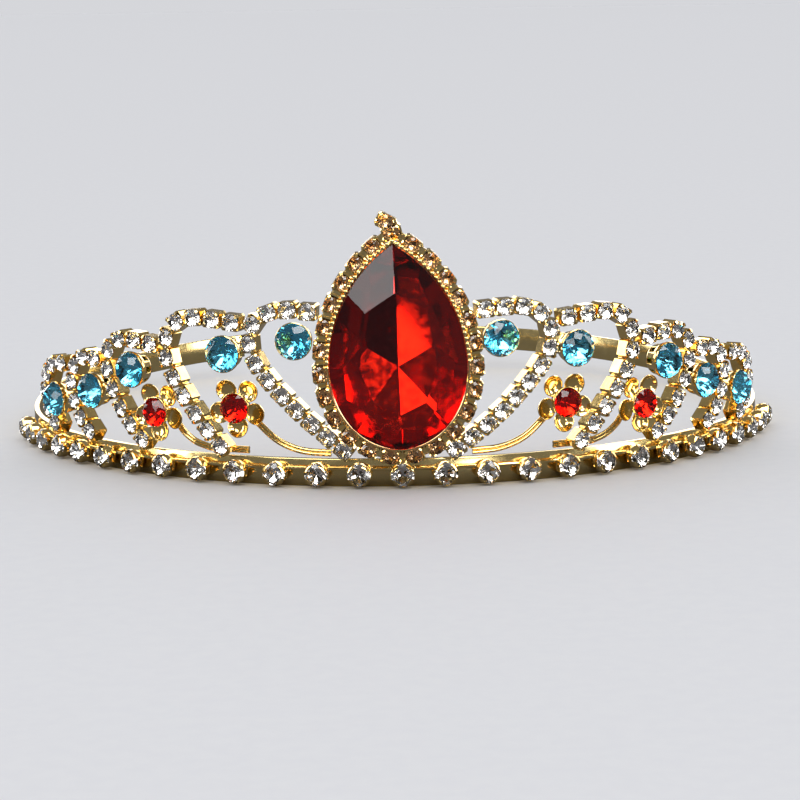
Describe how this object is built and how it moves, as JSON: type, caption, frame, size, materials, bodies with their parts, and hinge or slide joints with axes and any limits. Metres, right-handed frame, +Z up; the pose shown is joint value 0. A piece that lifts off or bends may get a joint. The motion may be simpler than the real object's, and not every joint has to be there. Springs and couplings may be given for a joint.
{
  "type": "tiara",
  "caption": "Gold tiara: open sprung band, claw-set stone row, hooked arches of small stones, blue stones, red flowers and a large red pear stone in a halo.",
  "frame": {"origin": "middle of the crown's footprint, on the surface that the band's front stands on", "axes": "+Z up; the front of the crown, with the pear stone, faces -Y; +X is to the right when the front is looked at"},
  "size_m": [0.1288, 0.1332, 0.0423],
  "materials": {
    "band_gold": "polished gold plating",
    "claw_gold": "polished gold plating on pressed cups and claws",
    "cup_gold": "polished gold plating",
    "petal_gold": "polished gold plating on stamped petals",
    "wire_gold": "polished gold-plated wire",
    "red_crystal": "faceted, foil-backed",
    "aqua_crystal": "faceted, foil-backed",
    "clear_crystal": "faceted, foil-backed",
    "champagne_crystal": "faceted, foil-backed"
  },
  "bodies": {
    "root": {"headband": "band_gold", "base_row": "claw_gold", "pear_stone": "red_crystal", "pear_bezel": "claw_gold", "pear_halo": "claw_gold", "arch_left_1": "claw_gold", "arch_left_2": "claw_gold", "arch_left_3": "claw_gold", "arch_left_4": "claw_gold", "arch_left_5": "claw_gold", "blue_cup_left_1": "cup_gold", "blue_stone_left_1": "aqua_crystal", "blue_cup_left_2": "cup_gold", "blue_stone_left_2": "aqua_crystal", "blue_cup_left_3": "cup_gold", "blue_stone_left_3": "aqua_crystal", "blue_cup_left_4": "cup_gold", "blue_stone_left_4": "aqua_crystal", "blue_cup_left_5": "cup_gold", "blue_stone_left_5": "aqua_crystal", "flower_left_1": "petal_gold", "red_stone_left_1": "red_crystal", "stem_left_1": "wire_gold", "flower_left_2": "petal_gold", "red_stone_left_2": "red_crystal", "stem_left_2": "wire_gold", "arch_right_1": "claw_gold", "arch_right_2": "claw_gold", "arch_right_3": "claw_gold", "arch_right_4": "claw_gold", "arch_right_5": "claw_gold", "blue_cup_right_1": "cup_gold", "blue_stone_right_1": "aqua_crystal", "blue_cup_right_2": "cup_gold", "blue_stone_right_2": "aqua_crystal", "blue_cup_right_3": "cup_gold", "blue_stone_right_3": "aqua_crystal", "blue_cup_right_4": "cup_gold", "blue_stone_right_4": "aqua_crystal", "blue_cup_right_5": "cup_gold", "blue_stone_right_5": "aqua_crystal", "flower_right_1": "petal_gold", "red_stone_right_1": "red_crystal", "stem_right_1": "wire_gold", "flower_right_2": "petal_gold", "red_stone_right_2": "red_crystal", "stem_right_2": "wire_gold"}
  },
  "joints": []
}
